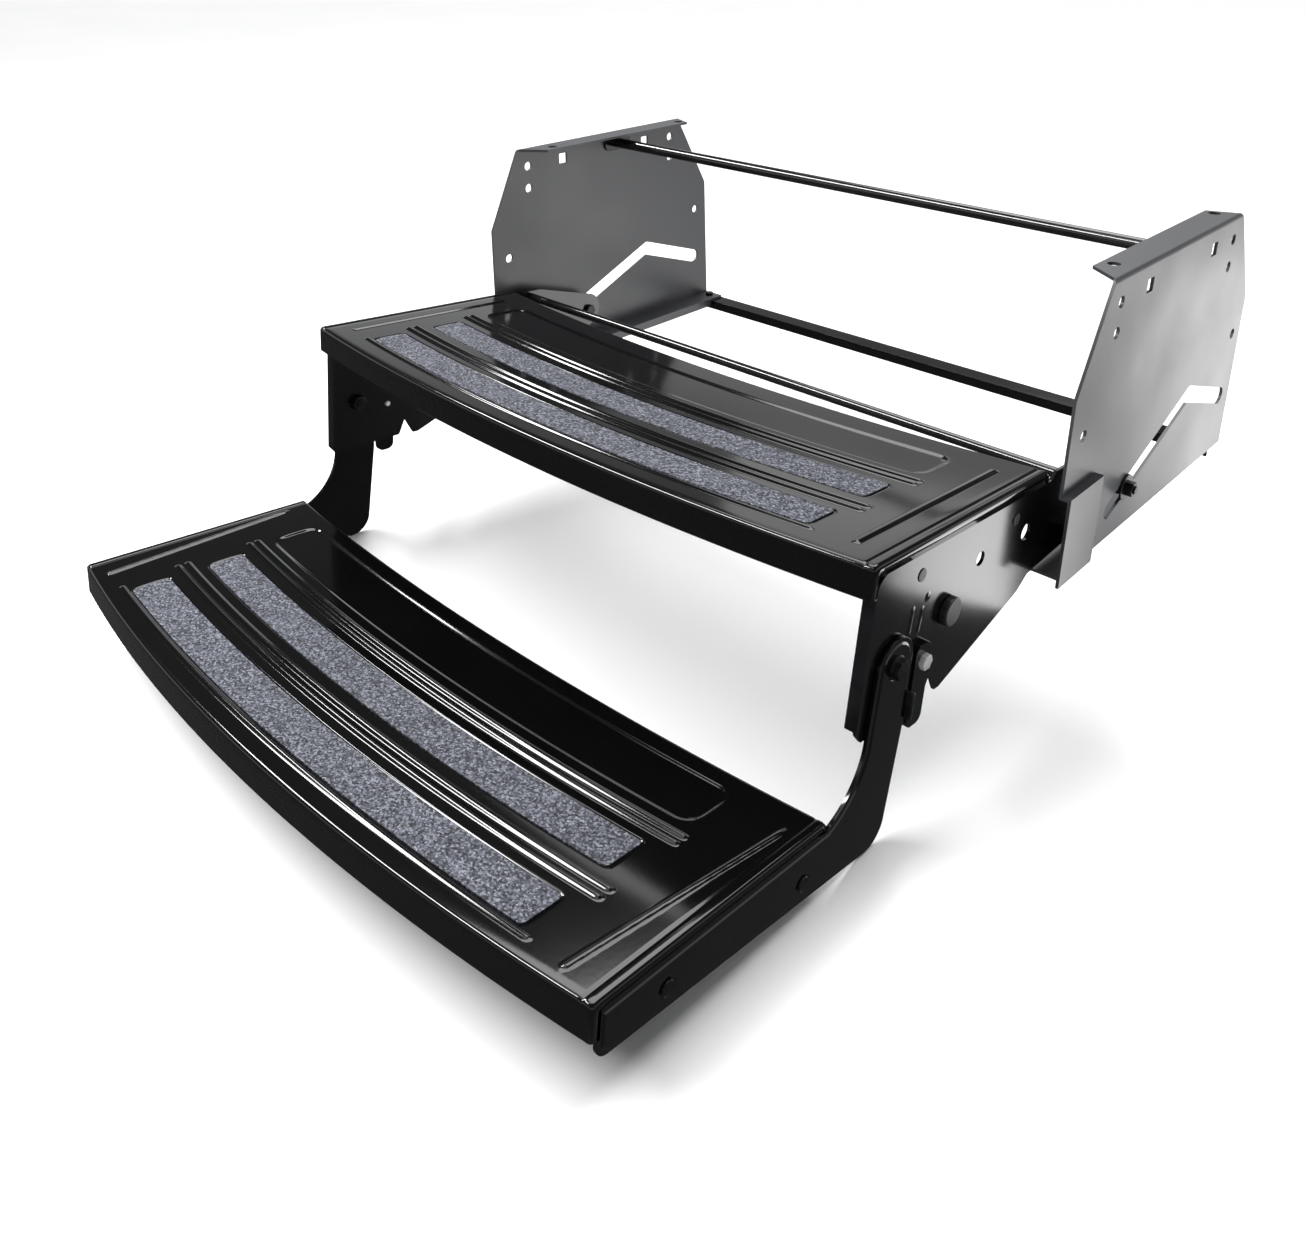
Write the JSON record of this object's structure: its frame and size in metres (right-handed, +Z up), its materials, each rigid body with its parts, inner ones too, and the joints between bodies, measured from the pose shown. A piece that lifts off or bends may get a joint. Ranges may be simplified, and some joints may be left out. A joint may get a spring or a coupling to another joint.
{
  "type": "vehicle entry step",
  "caption": "Pull-out entry step with slotted side plates, a sliding upper tread and a lower tread that folds up and over on side legs, both with grit strips.",
  "frame": {"origin": "centre of the four flange bolts, on the top face of the mounting flanges", "axes": "+Z up, +Y inwards under the vehicle, -Y towards the person climbing, +X to the right seen by that person"},
  "size_m": [0.7728, 0.973, 0.4083],
  "materials": {
    "housing_paint": "satin dark grey powder coat",
    "gloss_black": "gloss black enamel",
    "grit_tape": "speckled blue-grey anti-slip grit",
    "black_fastener": "black oxide steel",
    "zinc_plate": "bright zinc plate",
    "rubber": "matt black rubber",
    "nylon": "black nylon"
  },
  "bodies": {
    "housing": {"housing_plate_right": "housing_paint", "housing_plate_left": "housing_paint", "upper_cross_rod": "gloss_black", "rod_clip_right": "gloss_black", "rod_clip_left": "gloss_black", "rear_cross_bar": "gloss_black", "cross_bar_bolts": "black_fastener", "cross_bar_nuts": "black_fastener", "guide_pads": "nylon", "pad_screws": "black_fastener"},
    "upper_step": {"upper_arm_right": "gloss_black", "upper_arm_left": "gloss_black", "upper_tread": "gloss_black", "upper_grit_front": "grit_tape", "upper_grit_rear": "grit_tape", "tread_tie_rod": "gloss_black", "guide_bolts": "black_fastener", "guide_spacers": "black_fastener", "guide_washers": "black_fastener", "guide_nuts": "black_fastener", "hinge_bolts": "black_fastener", "hinge_washers": "black_fastener", "hinge_nuts": "black_fastener", "upper_tread_screws": "black_fastener", "stop_brackets": "gloss_black", "stop_bolts": "zinc_plate", "stop_bumpers": "rubber", "side_buttons": "rubber"},
    "lower_step": {"leg_right": "gloss_black", "leg_left": "gloss_black", "lower_tread": "gloss_black", "lower_grit_front": "grit_tape", "lower_grit_rear": "grit_tape", "lower_tread_screws": "black_fastener"}
  },
  "joints": [
    {"name": "stow_slide", "type": "slide", "parent": "housing", "child": "upper_step", "axis": [0, 0.9271, 0.3748], "range_m": [0, 0.138]},
    {"name": "lower_step_fold", "type": "hinge", "parent": "upper_step", "child": "lower_step", "pos_m": [0, -0.42205, -0.24316], "axis": [-1, 0, 0], "range_deg": [0, 180]}
  ]
}
